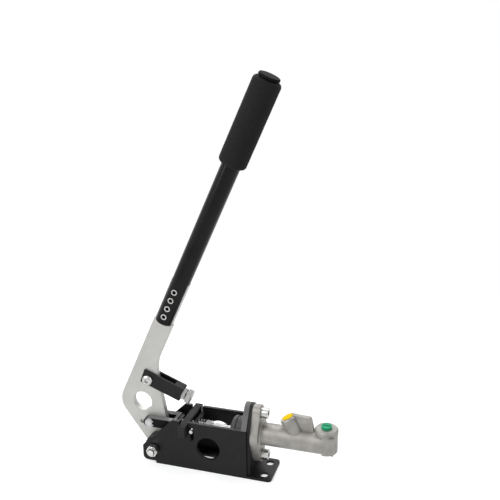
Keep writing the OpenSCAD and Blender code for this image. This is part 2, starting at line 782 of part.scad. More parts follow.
module dust_boot() {
    inner = barrel_d / 2 + slide_gap;
    r = boot_d / 2;
    dip = boot_wall * 0.7;
    t = boot_length / 10;
    outside = [[boot_x, boot_lip_r], [boot_x, boot_lip_r + 1.4 * boot_wall],
        [boot_x + 0.6 * t, boot_lip_r + 2 * boot_wall], [boot_x + 1.2 * t, r - 2.2 * boot_wall],
        [boot_x + 2 * t, r - 1.1 * boot_wall], [boot_x + 3 * t, r - 0.3 * boot_wall], [boot_x + 4 * t, r],
        [boot_x + 6 * t, r], [boot_x + 6.7 * t, r - dip], [boot_x + 7.5 * t, r - dip],
        [boot_x + 8.2 * t, r], [front_x, r]];
    inside = [[front_x, inner], [nose_x - slide_gap, inner], [nose_x - slide_gap, r - 2 * boot_wall],
        [boot_x + 2.8 * t, r - 2.4 * boot_wall], [boot_x + 1.6 * t, boot_lip_r + boot_wall],
        [boot_x + t, boot_lip_r]];
    color("#3c3c3e") translate([0, 0, cylinder_z]) turned_x(concat(outside, inside));
}

module ring_x(outer_r, inner_r, x0, x1) {
    difference() {
        round_x(outer_r, x0, x1);
        round_x(inner_r, x0 - cut, x1 + cut);
    }
}

module stop_washer() {
    color("#b5b8bc") translate([0, 0, cylinder_z])
        ring_x(bore_d / 2 - slide_gap, rod_d / 2 + 1.4, stop_washer_x, stop_washer_x + stop_washer_thick);
}

module circlip() {
    color("#5a5c60") translate([0, 0, cylinder_z]) difference() {
        ring_x(bore_d / 2 + 0.7, bore_d / 2 - 2, circlip_x, circlip_x + circlip_thick);
        translate([circlip_x - cut, -2, -bore_d]) cube([circlip_thick + 2 * cut, 4, bore_d]);
    }
}

module return_spring() {
    start = piston_end_x + seal_thick;
    color("#8c8f94") translate([0, 0, cylinder_z])
        coil(start, bore_end_x - start, return_spring_turns, return_spring_d, return_spring_wire);
}

module lever_outline() {
    rear = -handle_offset - lever_width / 2;
    front = -handle_offset + lever_width / 2;
    waist = [-lever_waist_v, lever_waist_u];
    bend = [front, lever_bend_u];
    shoulder = tube_start_u;
    tongue = tube_start_u + tube_slot_length;
    hub_from = -90 - lever_heel_angle;
    hub_touch = lever_hub_r * [cos(hub_from), sin(hub_from)];
    heel = [rear, hub_touch[1] + (hub_touch[0] - rear) * tan(lever_heel_angle)];
    polygon(concat(arc([0, 0], lever_hub_r, hub_from, tangent_angle(waist, lever_hub_r)), [waist],
        fillet(waist, bend, [front, shoulder], lever_bend_r), [[front, shoulder],
        [-handle_offset + tube_d / 2, shoulder], [-handle_offset + tube_d / 2, tongue],
        [-handle_offset - tube_d / 2, tongue], [-handle_offset - tube_d / 2, shoulder], [rear, shoulder]],
        fillet([rear, shoulder], heel, hub_touch, lever_heel_r)));
}

module screw_stations() {
    for (i = [0:3]) translate([0, 0, tube_start_u + screw_first + i * screw_pitch]) children();
}

module lever_plate() {
    half = lever_thick / 2;
    color("#c4c3bd") difference() {
        lever_frame() slab_y(-half, half) lever_outline();
        lever_frame() round_y(bush_d / 2, -half - cut, half + cut);
        lever_frame() round_y(lever_window_d / 2, -half - cut, half + cut, -lever_window_v, lever_window_u);
        lever_frame() round_y(arm_bolt_d / 2 + slide_gap, -half - cut, half + cut, -arm_bolt_v, arm_bolt_u);
        translate([pin_x, 0, pin_z]) round_y(clevis_pin_d / 2 + thread_gap, -half - cut, half + cut);
        translate([pin_x - lever_small_hole_back, 0, pin_z - lever_small_hole_drop])
            round_y(lever_small_hole_d / 2, -half - cut, half + cut);
        handle_frame() screw_stations() round_y(screw_d / 2 + thread_gap, -half - cut, half + cut);
    }
}

module pivot_bush() {
    half = lever_thick / 2;
    color("#b58a4a") translate([pivot_x, 0, pivot_z]) difference() {
        round_y(bush_d / 2, -half, half);
        round_y(pivot_d / 2 + pivot_clearance, -half - cut, half + cut);
    }
}

module handle_tube() {
    bore_start = tube_start_u + tube_slot_length + 3;
    tube_end = tube_start_u + tube_length;
    seat = -tube_d / 2 + 4;
    color("#1c1c1f") handle_frame() difference() {
        translate([0, 0, tube_start_u]) cylinder(d = tube_d, h = tube_length);
        translate([0, 0, bore_start]) cylinder(d = tube_d - 2 * tube_wall, h = tube_end - bore_start + cut);
        translate([-tube_d, -lever_thick / 2, tube_start_u - cut])
            cube([2 * tube_d, lever_thick, tube_slot_length + cut]);
        screw_stations() {
            round_y(screw_head_d / 2 + 0.4, -tube_d, seat);
            round_y(screw_d / 2 + thread_gap, seat - cut, tube_d / 2 - 2);
        }
    }
}

module grip() {
    start = tube_start_u + tube_length - grip_length;
    r = grip_d / 2;
    inner = tube_d / 2;
    color("#232325") handle_frame() translate([0, 0, start]) rotate_extrude() polygon(concat([[inner, 0]],
        fillet([inner, 0], [r, 0], [r, grip_length], grip_round - 1),
        fillet([r, 0], [r, grip_length], [inner, grip_length], grip_round), [[inner, grip_length]]));
}

module end_plug() {
    r = plug_d / 2;
    bore = tube_d / 2 - tube_wall - slide_gap;
    stem = 14;
    color("#0e0e10") handle_frame() translate([0, 0, tube_start_u + tube_length]) rotate_extrude()
        polygon(concat([[0, -stem], [bore - 1, -stem], [bore, -stem + 1], [bore, 0], [r - 1.5, 0],
            [r - 1.5, 0.8]], fillet([r - 1.5, 0.8], [r, 1.4], [r, plug_height], 0.4),
            fillet([r, 0], [r, plug_height], [0, plug_height], 1.6), [[0, plug_height]]));
}

module tube_screws() {
    seat = -tube_d / 2 + 4;
    tip = tube_d / 2 - 2.5;
    color("#b9bcc0") handle_frame() screw_stations() difference() {
        union() {
            round_y(screw_d / 2, seat, tip);
            round_y(screw_head_d / 2, -tube_d / 2 - 0.2, seat);
        }
        rotate([0, 30, 0]) hex_y(4.4, -tube_d, seat - 0.8);
    }
}

module stop_arm() {
    rear = -arm_bolt_inset;
    front = rear + arm_length;
    low = -arm_bolt_rise;
    high = low + arm_height;
    fork = front - arm_solid;
    screw_z = low + arm_height / 2;
    color("#1d1d20") arm_frame() difference() {
        slab_y(-arm_half, arm_half) polygon(concat(fillet([rear, high], [rear, low], [front, low], 1.5),
            [[front - 1, low], [front, low + 1], [front, high - 1], [front - 1, high]],
            fillet([front, high], [rear, high], [rear, low], 1)));
        translate([rear - cut, -lever_thick / 2, low - cut])
            cube([fork - rear + cut, lever_thick, arm_height + 2 * cut]);
        round_y(arm_bolt_d / 2 + slide_gap, -arm_half - cut, arm_half + cut);
        round_x(stop_screw_d / 2 + thread_gap, fork - cut, front + cut, 0, screw_z);
    }
}

module arm_bolt() {
    color("#c9ccd0") arm_frame() difference() {
        union() {
            round_y(arm_bolt_d / 2, -arm_half, arm_half + nut_height + bolt_proud);
            translate([0, -arm_half, 0]) rotate([90, 0, 0]) rotate_extrude()
                polygon(concat([[0, 0], [7, 0], [7, 0.8]],
                    [for (a = [15:15:75]) [7 * cos(a), 0.8 + 3.6 * sin(a)]], [[0, 4.4]]));
        }
        hex_y(5, -arm_half - 6, -arm_half - 2);
    }
}

module arm_nut() {
    color("#d4d7da") arm_frame() difference() {
        nut_y(nut_flats, arm_half, arm_half + nut_height);
        round_y(arm_bolt_d / 2 + thread_gap, arm_half - cut, arm_half + nut_height + cut);
    }
}

module stop_screw_line() {
    arm_frame() translate([arm_length - arm_bolt_inset, 0, arm_height / 2 - arm_bolt_rise]) children();
}

module stop_screw() {
    head_x = stop_nut_thick + stop_screw_gap;
    color("#cfd2d5") stop_screw_line() {
        round_x(stop_screw_d / 2, -arm_solid + 0.5, head_x + 1);
        nut_x(stop_head_flats, head_x, head_x + stop_head_thick);
    }
}

module stop_screw_nut() {
    color("#bfc2c5") stop_screw_line() difference() {
        nut_x(stop_nut_flats, 0, stop_nut_thick);
        round_x(stop_screw_d / 2 + thread_gap, -cut, stop_nut_thick + cut);
    }
}

module clevis_pin() {
    tip = clevis_half + clevis_pin_proud;
    color("#c9ccd0") translate([pin_x, 0, pin_z]) round_y(clevis_pin_d / 2, -tip, tip);
}

module pin_clips() {
    r = clevis_pin_d / 2;
    seats = [-clevis_half - clip_gap - clip_thick, clevis_half + clip_gap];
    color("#8c8f94") translate([pin_x, 0, pin_z]) for (y = seats) difference() {
        round_y(r + 2, y, y + clip_thick);
        round_y(r, y - cut, y + clip_thick + cut);
        translate([r / 2, y - cut, -r * 0.4]) cube([2 * r, clip_thick + 2 * cut, r * 0.8]);
    }
}

module clevis() {
    r = clevis_height / 2;
    slot = lever_thick / 2 + clevis_gap;
    fork = clevis_reach - clevis_solid;
    round_x0 = r - clevis_tail;
    nose = 5;
    color("#202023") rod_frame() difference() {
        union() {
            round_y(r, -clevis_half, clevis_half, round_x0);
            translate([round_x0, -clevis_half, -r])
                cube([clevis_reach - nose - round_x0, 2 * clevis_half, clevis_height]);
            translate([clevis_reach - nose - cut, -clevis_half + 2, -r + 1])
                cube([nose + cut, 2 * clevis_half - 4, clevis_height - 2]);
        }
        translate([-clevis_tail - cut, -slot, -r - cut])
            cube([clevis_tail + cut + fork, 2 * slot, clevis_height + 2 * cut]);
        round_y(clevis_pin_d / 2 + pivot_clearance, -clevis_half - cut, clevis_half + cut);
        round_x(rod_d / 2 + thread_gap, fork - cut, clevis_reach + cut);
    }
}

module pushrod() {
    fork = clevis_reach - clevis_solid;
    neck = ball_d / 2 - 1.2;
    color("#d0d2d4") rod_frame() {
        round_x(rod_d / 2, fork + 1, rod_reach - ball_d);
        turned_x([[rod_reach - ball_d, 0], [rod_reach - ball_d, rod_d / 2], [rod_reach - neck, 3],
            [rod_reach, 3], [rod_reach, 0]]);
        translate([rod_reach, 0, 0]) sphere(d = ball_d);
    }
}

module pushrod_nut() {
    color("#dcdee0") rod_frame() difference() {
        nut_x(rod_nut_flats, rod_nut_reach, rod_nut_reach + rod_nut_thick);
        round_x(rod_d / 2 + thread_gap, rod_nut_reach - cut, rod_nut_reach + rod_nut_thick + cut);
    }
}

module pushrod_spring() {
    color("#9b9ea2") rod_frame()
        coil(rod_spring_x, rod_spring_length, rod_spring_turns, rod_spring_d, rod_spring_wire);
}

module rod_guide() {
    half = inner_half - slide_gap;
    bar = guide_pin_d + 2;
    x0 = guide_x - guide_thick / 2;
    color("#2c2c30") difference() {
        union() {
            round_x(guide_height / 2, x0, x0 + guide_thick, 0, guide_rod_z);
            translate([x0, -half, guide_pin_z - bar / 2]) cube([guide_thick, 2 * half, bar]);
        }
        round_x(rod_d / 2 + guide_clearance, x0 - cut, x0 + guide_thick + cut, 0, guide_rod_z);
        round_x(rod_spring_d / 2 + guide_clearance, guide_seat_x, x0 + guide_thick + cut, 0, guide_rod_z);
        round_y(guide_pin_d / 2, -half - cut, guide_pin_root_y, guide_x, guide_pin_z);
    }
}

module guide_pin() {
    tip = -half_width - guide_pin_reach;
    color("#d4d7da") round_y(guide_pin_d / 2, tip, guide_pin_root_y, guide_x, guide_pin_z);
}

module piston() {
    r = bore_d / 2 - piston_clearance;
    groove_x = piston_x + seal_back;
    color("#a9acb0") translate([0, 0, cylinder_z]) difference() {
        turned_x([[piston_x, 0], [piston_x, r - 1], [piston_x + 1, r], [groove_x, r], [groove_x, r - 3],
            [groove_x + seal_thick, r - 3], [groove_x + seal_thick, r], [groove_x + seal_thick + 3, r],
            [groove_x + seal_thick + 4, r - 3.5], [piston_end_x - 4, r - 3.5], [piston_end_x - 3, r],
            [piston_end_x, r], [piston_end_x, 0]]);
        translate([ball_x, 0, 0]) sphere(d = ball_d + 2 * ball_clearance);
        round_x(ball_d / 2 + ball_clearance + 0.4, piston_x - cut, ball_x - 1);
    }
}

module primary_cup() {
    r = bore_d / 2 - piston_clearance;
    color("#151516") translate([0, 0, cylinder_z]) turned_x([[piston_end_x, 0], [piston_end_x, r],
        [piston_end_x + seal_thick, r], [piston_end_x + seal_thick, 0]]);
}

module secondary_seal() {
    r = bore_d / 2 - piston_clearance;
    groove_x = piston_x + seal_back;
    color("#151516") translate([0, 0, cylinder_z]) ring_x(r, r - 3, groove_x, groove_x + seal_thick);
}

base_plate();
left_side_plate();
right_side_plate();
front_plate();
flange_spacer();
cross_bar();
pivot_bolt();
pivot_nut();
pivot_washers();
pivot_spacers();
cylinder_body();
inlet_plug();
outlet_plug();
flange_bolts();
flange_washers();
dust_boot();
stop_washer();
circlip();
return_spring();
lever_plate();
pivot_bush();
handle_tube();
grip();
end_plug();
tube_screws();
stop_arm();
arm_bolt();
arm_nut();
stop_screw();
stop_screw_nut();
clevis_pin();
pin_clips();
clevis();
pushrod();
pushrod_nut();
pushrod_spring();
rod_guide();
guide_pin();
piston();
primary_cup();
secondary_seal();
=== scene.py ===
import json
import math

import bmesh
import bpy
from mathutils import Matrix, Vector, noise


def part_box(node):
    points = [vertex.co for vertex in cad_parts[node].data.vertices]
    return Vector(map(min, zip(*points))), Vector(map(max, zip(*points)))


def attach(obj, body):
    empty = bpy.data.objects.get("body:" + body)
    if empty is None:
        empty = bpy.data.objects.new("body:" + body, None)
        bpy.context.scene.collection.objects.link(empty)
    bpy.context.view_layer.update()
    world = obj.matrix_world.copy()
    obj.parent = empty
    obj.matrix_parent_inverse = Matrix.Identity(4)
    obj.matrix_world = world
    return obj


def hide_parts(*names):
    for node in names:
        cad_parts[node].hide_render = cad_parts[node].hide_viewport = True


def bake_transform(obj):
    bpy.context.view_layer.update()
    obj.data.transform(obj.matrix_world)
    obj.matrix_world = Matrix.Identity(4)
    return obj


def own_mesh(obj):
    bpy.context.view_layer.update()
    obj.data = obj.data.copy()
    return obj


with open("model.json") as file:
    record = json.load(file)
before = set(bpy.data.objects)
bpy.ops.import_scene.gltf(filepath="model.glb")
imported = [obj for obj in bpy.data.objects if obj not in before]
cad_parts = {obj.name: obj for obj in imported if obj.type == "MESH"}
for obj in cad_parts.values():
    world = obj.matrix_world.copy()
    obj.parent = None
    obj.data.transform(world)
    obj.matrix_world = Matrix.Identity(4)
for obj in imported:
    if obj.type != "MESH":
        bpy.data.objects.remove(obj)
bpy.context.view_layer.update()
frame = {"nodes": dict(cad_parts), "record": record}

BEHAVIOUR = frame["record"]["behaviour"]
BODY_OF = {node: body for body, group in BEHAVIOUR["bodies"].items() for node in group}
SLOT_OF = {part["node"]: part["material_slot"] for part in frame["record"]["subparts"]}

# Values of the part's source, in metres
PIVOT = Vector((-0.081, 0.0, 0.0205))
LEVER_LEAN = math.radians(24.85)
HANDLE_OFFSET = 0.0581
TUBE_START = 0.1559
TUBE_LENGTH = 0.3171
TUBE_R = 0.0111
GRIP_LENGTH = 0.102
GRIP_R = 0.0165
CLEVIS_PIN = Vector((-0.0905, 0.0, 0.0497))
CLEVIS_SLOT = 0.0044
CLEVIS_NOSE = 0.0345
ROD_TILT = math.asin(2.2 / 128.5)
ROD_R = 0.004
ROD_START = 0.0315
ROD_REACH = 0.1285
BALL_R = 0.005
NECK_R = 0.003
NECK_INTO_BALL = 0.0012
SCREW_SEAT = -0.0071
SCREW_FACE = -0.0113
BASE_TOP = 0.0032
HALF_WIDTH = 0.023
WASHER_THICK = 0.0016
NUT_HEIGHT = 0.0062

# Camera fitted to the photograph: place in metres, angles in degrees, lens in millimetres
CAMERA_PLACE = (0.2892, -0.7643, 0.5436)
CAMERA_AZIMUTH = 17.92
CAMERA_ELEVATION = 17.83
CAMERA_ROLL = -0.90
CAMERA_LENS = 53.92
CAMERA_SENSOR = 36.0

# Foam grip: rolled ends, rows along it, steps around it, soft swells and pores
GRIP_LIP = 0.0046
GRIP_SLACK = 0.0001
GRIP_SKIN = 0.001
LIP_STEPS = 12
GRIP_ROWS = 170
GRIP_STEPS = 192
SWELL_SCALE = 90.0
SWELL_DEPTH = 0.0002
PORE_SCALE = 900.0
PORE_DEPTH = 0.00012

# Push rod: its thread, and the steps of its turned shape
THREAD_PITCH = 0.00125
THREAD_DEPTH = 0.0005
THREAD_PAST_NUT = 0.0025
THREAD_RUN_OUT = 0.0006
BALL_STEPS = 16
ROUND_STEPS = 48

# Plastic ring of the lock nut
RING_INNER = 0.0042
RING_OUTER = 0.0048
RING_EDGE = 0.0009
RING_CROWN = 0.0012

# Faces with a finish of their own: how wide the clevis top's painted highlight fades in, how
# squarely they face, and how far down a socket they lie
HIGHLIGHT_FADE = 0.0006
FACES_UP = 0.98
FACES_SIDEWAYS = 0.95
# Depths that bound the painted shade in the screws' sockets
SOCKET_RIM = 0.0008
SOCKET_FLOOR = 0.00045

# Meshes: points closer than WELD are one, edges over these angles are rounded or shaded hard
WELD = 2e-6
TURNED_WELD = 1e-7
FLUSH = 1e-5
SAME_PLANE = math.radians(1.0)
ROUNDED_ABOVE = math.radians(38)
HARD_ABOVE = math.radians(32)

# Floor: half its width, its place below the part, and where it fades to plain white
FLOOR_SIZE = 6.0
FLOOR_DROP = 0.0002
FADE_START = 0.35
FADE_END = 0.8


# Frames of the moving pieces

def lever_frame():
    """Pivot at the origin, Z along the handle."""
    return Matrix.Translation(PIVOT) @ Matrix.Rotation(LEVER_LEAN, 4, "Y")


def handle_frame():
    """On the handle's axis, Z along the tube."""
    return lever_frame() @ Matrix.Translation((-HANDLE_OFFSET, 0, 0))


def rod_frame():
    """Clevis pin at the origin, Z along the push rod."""
    tilt = Matrix.Rotation(-ROD_TILT, 4, "Y") @ Matrix.Rotation(math.radians(90), 4, "Y")
    return Matrix.Translation(CLEVIS_PIN) @ tilt


# Camera

def place_camera():
    """Puts the camera where the photograph was taken from."""
    angles = (CAMERA_AZIMUTH, CAMERA_ELEVATION, CAMERA_ROLL)
    az, el, roll = (math.radians(a) for a in angles)
    back = Vector((math.sin(az) * math.cos(el), -math.cos(az) * math.cos(el), math.sin(el)))
    right = Vector((math.cos(az), math.sin(az), 0.0))
    up = back.cross(right)
    turned_right = math.cos(roll) * right + math.sin(roll) * up
    turned_up = -math.sin(roll) * right + math.cos(roll) * up
    data = bpy.data.cameras.new("photo_camera")
    data.sensor_width = CAMERA_SENSOR
    data.lens = CAMERA_LENS
    data.clip_start = 0.01
    data.clip_end = 50.0
    camera = bpy.data.objects.new("photo_camera", data)
    place = Matrix((turned_right, turned_up, back)).transposed().to_4x4()
    place.translation = Vector(CAMERA_PLACE)
    camera.matrix_world = place
    bpy.context.scene.collection.objects.link(camera)
    bpy.context.scene.camera = camera


# Materials

def set_sockets(node, **values):
    """Sets a shader node's inputs; an underscore stands for a space in an input's name."""
    for name, value in values.items():
        node.inputs[name.replace("_", " ")].default_value = value


def add_node(tree, kind, **values):
    """A new shader node with its inputs set."""
    node = tree.nodes.new(kind)
    set_sockets(node, **values)
    return node


def new_finish(name):
    """A material with its shader and Object coordinates."""
    mat = bpy.data.materials.new(name)
    mat.use_nodes = True
    tree = mat.node_tree
    shader = tree.nodes["Principled BSDF"]
    coords = tree.nodes.new("ShaderNodeTexCoord").outputs["Object"]
    return mat, tree, shader, coords


def grain(tree, coords, scale, detail=3.0):
    """A noise of the given fineness."""
    tex = add_node(tree, "ShaderNodeTexNoise", Scale=scale, Detail=detail, Roughness=0.55)
    tree.links.new(coords, tex.inputs["Vector"])
    return tex.outputs["Fac"]


def tint(tree, shader, value, low, high, start=0.35, end=0.65):
    """Colours the shader with two shades, blended by a value."""
    ramp = tree.nodes.new("ShaderNodeValToRGB")
    first, last = ramp.color_ramp.elements
    first.position = start
    last.position = end
    first.color = (*low, 1.0)
    last.color = (*high, 1.0)
    tree.links.new(value, ramp.inputs["Fac"])
    tree.links.new(ramp.outputs["Color"], shader.inputs["Base Color"])


def gloss(tree, shader, value, low, high):
    """Spreads the shader's roughness between low and high by a grain."""
    node = add_node(tree, "ShaderNodeMapRange",
                    From_Min=0.3, From_Max=0.7, To_Min=low, To_Max=high)
    tree.links.new(value, node.inputs["Value"])
    tree.links.new(node.outputs["Result"], shader.inputs["Roughness"])


def relief(tree, shader, value, depth, strength, under=None):
    """A shallow bump from a grain, over another where there is one under it."""
    bump = add_node(tree, "ShaderNodeBump", Distance=depth, Strength=strength)
    tree.links.new(value, bump.inputs["Height"])
    if under is not None:
        tree.links.new(under, bump.inputs["Normal"])
    tree.links.new(bump.outputs["Normal"], shader.inputs["Normal"])
    return bump.outputs["Normal"]


def grained_finish(name, low, high, rough, patch, fine, depth,
                   strength=0.4, metal=0.0, specular=0.5):
    """A finish with soft patches of shade, a fine grain in its gloss and a shallow relief."""
    mat, tree, shader, coords = new_finish(name)
    tint(tree, shader, grain(tree, coords, patch), low, high)
    fine_grain = grain(tree, coords, fine, detail=2.0)
    gloss(tree, shader, fine_grain, *rough)
    relief(tree, shader, fine_grain, depth, strength)
    set_sockets(shader, Metallic=metal, Specular_IOR_Level=specular)
    return mat


def turned_steel(name, low, high, rough):
    """Bare or plated metal with a faint grain."""
    return grained_finish(name, low, high, rough, patch=160.0, fine=2200.0, depth=0.00003,
                          strength=0.08, metal=1.0)


def blasted_alloy(name):
    """Bead blasted aluminium."""
    mat, tree, shader, coords = new_finish(name)
    patches = grain(tree, coords, 45.0)
    tint(tree, shader, patches, (0.428, 0.425, 0.409), (0.462, 0.458, 0.441))
    beads = grain(tree, coords, 2600.0, detail=1.0)
    gloss(tree, shader, beads, 0.42, 0.6)
    relief(tree, shader, beads, 0.00006, 0.35)
    set_sockets(shader, Metallic=0.85)
    return mat


def cast_alloy(name):
    """Cast aluminium with a coarse and a fine skin."""
    mat, tree, shader, coords = new_finish(name)
    patches = grain(tree, coords, 70.0)
    tint(tree, shader, patches, (0.25, 0.239, 0.221), (0.325, 0.313, 0.29))
    sand = grain(tree, coords, 1500.0, detail=4.0)
    coarse = grain(tree, coords, 420.0, detail=2.0)
    gloss(tree, shader, sand, 0.38, 0.6)
    under = relief(tree, shader, coarse, 0.00018, 0.3)
    relief(tree, shader, sand, 0.00008, 0.4, under)
    set_sockets(shader, Metallic=0.55, Specular_IOR_Level=0.35)
    return mat


def foam_rubber(name):
    """Matt foam with fine cells."""
    mat, tree, shader, coords = new_finish(name)
    cells = add_node(tree, "ShaderNodeTexVoronoi", Scale=1500.0)
    tree.links.new(coords, cells.inputs["Vector"])
    patches = grain(tree, coords, 600.0)
    tint(tree, shader, patches, (0.008, 0.008, 0.0084), (0.012, 0.012, 0.0125))
    under = relief(tree, shader, cells.outputs["Distance"], 0.0002, 0.2)
    relief(tree, shader, patches, 0.00015, 0.2, under)
    set_sockets(shader, Roughness=0.92, Specular_IOR_Level=0.22)
    return mat


def painted_highlight_black(name):
    """Black paint with a painted highlight: pale grey on the near arm of the clevis, standing in
    for the light its flat top catches.
    """
    mat, tree, shader, coords = new_finish(name)
    across = tree.nodes.new("ShaderNodeSeparateXYZ")
    tree.links.new(coords, across.inputs["Vector"])
    near = add_node(tree, "ShaderNodeMapRange",
                    From_Min=-CLEVIS_SLOT + HIGHLIGHT_FADE, From_Max=-CLEVIS_SLOT)
    tree.links.new(across.outputs["Y"], near.inputs["Value"])
    # Pale grey painted highlight on the near arm, black elsewhere
    tint(tree, shader, near.outputs["Result"], (0.004, 0.004, 0.0043), (0.155, 0.155, 0.153),
         start=0.0, end=1.0)
    fine_grain = grain(tree, coords, 1700.0, detail=2.0)
    gloss(tree, shader, fine_grain, 0.4, 0.52)
    relief(tree, shader, fine_grain, 0.00005, 0.4)
    set_sockets(shader, Specular_IOR_Level=0.2)
    return mat


# Paint, plastic and rubber: two shades, roughness, fineness of patches and grain, relief
GRAINED = {
    "bracket_black": dict(low=(0.0035, 0.0035, 0.0038), high=(0.006, 0.006, 0.0064),
                          rough=(0.38, 0.5), patch=60.0, fine=1700.0, depth=0.00007, specular=0.21),
    "clevis_side": dict(low=(0.002, 0.002, 0.0022), high=(0.004, 0.004, 0.0043),
                        rough=(0.4, 0.5), patch=60.0, fine=1700.0, depth=0.00005, specular=0.1),
    "front_grey": dict(low=(0.115, 0.112, 0.11), high=(0.145, 0.142, 0.139),
                       rough=(0.5, 0.62), patch=60.0, fine=1700.0, depth=0.00007, specular=0.15),
    "bar_dark": dict(low=(0.014, 0.0136, 0.0142), high=(0.019, 0.0185, 0.0193),
                     rough=(0.5, 0.62), patch=80.0, fine=1500.0, depth=0.00007, specular=0.08),
    # The bar's end faces: a paler painted highlight, standing in for the light they catch
    "bar_end_painted_light": dict(low=(0.02, 0.0195, 0.0204), high=(0.026, 0.0254, 0.0265),
                    rough=(0.5, 0.62), patch=80.0, fine=1500.0, depth=0.00007, specular=0.12),
    "guide_nylon": dict(low=(0.005, 0.005, 0.0052), high=(0.008, 0.008, 0.0082),
                        rough=(0.62, 0.75), patch=80.0, fine=1500.0, depth=0.00007, specular=0.2),
    "yellow_plug": dict(low=(0.64, 0.42, 0.002), high=(0.73, 0.49, 0.003), rough=(0.6, 0.7),
                        patch=150.0, fine=1200.0, depth=0.00005, strength=0.25, specular=0.03),
    "green_plug": dict(low=(0.005, 0.24, 0.105), high=(0.009, 0.3, 0.135), rough=(0.38, 0.5),
                       patch=150.0, fine=1200.0, depth=0.00005, strength=0.25, specular=0.2),
    "rubber_dark": dict(low=(0.042, 0.042, 0.0415), high=(0.058, 0.058, 0.057),
                        rough=(0.5, 0.65), patch=120.0, fine=1600.0, depth=0.00008, specular=0.3),
    "tube_black": dict(low=(0.003, 0.003, 0.0032), high=(0.005, 0.005, 0.0053), rough=(0.2, 0.26),
                       patch=50.0, fine=1900.0, depth=0.00003, strength=0.2, specular=0.15),
    "plug_gloss": dict(low=(0.004, 0.004, 0.0045), high=(0.007, 0.007, 0.0075), rough=(0.6, 0.68),
                       patch=90.0, fine=900.0, depth=0.00002, strength=0.15, specular=0.05),
}

# Turned metal: two shades and roughness
TURNED = {
    "zinc_steel": ((0.42, 0.42, 0.41), (0.52, 0.52, 0.51), (0.18, 0.3)),
    "zinc_bright": ((0.54, 0.54, 0.53), (0.66, 0.66, 0.65), (0.16, 0.26)),
    "zinc_dull": ((0.27, 0.27, 0.265), (0.36, 0.36, 0.352), (0.3, 0.42)),
    # Painted shade for the screws' sockets, dark where the hollow lies in shadow
    "socket_painted_shade": ((0.02, 0.02, 0.02), (0.04, 0.04, 0.04), (0.5, 0.65)),
    "spring_dark": ((0.1, 0.1, 0.102), (0.16, 0.16, 0.163), (0.25, 0.4)),
    "spring_steel": ((0.32, 0.32, 0.33), (0.44, 0.44, 0.45), (0.25, 0.4)),
    "piston_alloy": ((0.5, 0.5, 0.5), (0.6, 0.6, 0.6), (0.25, 0.35)),
    "bush_bronze": ((0.42, 0.27, 0.11), (0.52, 0.34, 0.15), (0.3, 0.42)),
}

FINISH = {name: grained_finish(name, **values) for name, values in GRAINED.items()}
FINISH.update({name: turned_steel(name, *values) for name, values in TURNED.items()})
# Painted highlight for the clevis's flat top
FINISH["clevis_top_painted_highlight"] = painted_highlight_black("clevis_top_painted_highlight")
FINISH["cast_body"] = cast_alloy("cast_body")
FINISH["lever_alloy"] = blasted_alloy("lever_alloy")
FINISH["grip_foam"] = foam_rubber("grip_foam")

# Nodes that look unlike the rest of their slot
OWN_FINISH = {
    "pushrod_spring": "spring_dark",
    "stop_screw": "zinc_dull",
    "stop_screw_nut": "zinc_dull",
    "pivot_nut": "zinc_bright",
    "pivot_bolt": "zinc_bright",
    "clevis": "clevis_side",
}


def finish_of(node):
    """The node's own finish, or else its slot's."""
    return FINISH[OWN_FINISH.get(node, SLOT_OF[node])]


def dress_nodes():
    """Gives every node its finish."""
    for name, obj in frame["nodes"].items():
        obj.data.materials.clear()
        obj.data.materials.append(finish_of(name))


# Pieces

def node_copy(node):
    """A bmesh of a node's own solid."""
    bm = bmesh.new()
    bm.from_mesh(frame["nodes"][node].data)
    bmesh.ops.remove_doubles(bm, verts=bm.verts, dist=WELD)
    return bm


def add_piece(bm, name, node, slot, replaces=(), finish=None, rides=True):
    """Makes an object of a bmesh that moves with a node's body, in its slot's finish or another."""
    mesh = bpy.data.meshes.new(name)
    bm.to_mesh(mesh)
    bm.free()
    piece = bpy.data.objects.new(name, mesh)
    bpy.context.scene.collection.objects.link(piece)
    mesh.materials.append(finish or FINISH[slot])
    for face in mesh.polygons:
        face.use_smooth = True
    mesh.set_sharp_from_angle(angle=HARD_ABOVE)
    if rides:
        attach(piece, BODY_OF[node])
    if replaces:
        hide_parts(*replaces)
    return piece


def on_seam(edge):
    """True on the flush joints where the side plates stand on the base plate."""
    return all(abs(v.co.z - BASE_TOP) < FLUSH and abs(abs(v.co.y) - HALF_WIDTH) < FLUSH
               for v in edge.verts)


def is_hard(edge):
    """True on an edge that is to be rounded."""
    return (len(edge.link_faces) == 2 and edge.calc_face_angle() > ROUNDED_ABOVE
            and not on_seam(edge))


def softened(node, width):
    """The node's own solid with its hard edges rounded, as worked or painted metal has them."""
    bm = node_copy(node)
    bmesh.ops.dissolve_limit(bm, angle_limit=SAME_PLANE, verts=bm.verts, edges=bm.edges,
                             use_dissolve_boundaries=False)
    hard = [edge for edge in bm.edges if is_hard(edge)]
    bmesh.ops.bevel(bm, geom=hard, offset=width, offset_type="OFFSET", segments=2, profile=0.5,
                    affect="EDGES", clamp_overlap=True, material=-1)
    piece = add_piece(bm, node + "_soft", node, SLOT_OF[node], (node,), finish_of(node))
    flats = piece.modifiers.new("flat_faces", "WEIGHTED_NORMAL")
    flats.weight = 100
    flats.keep_sharp = True
    return piece


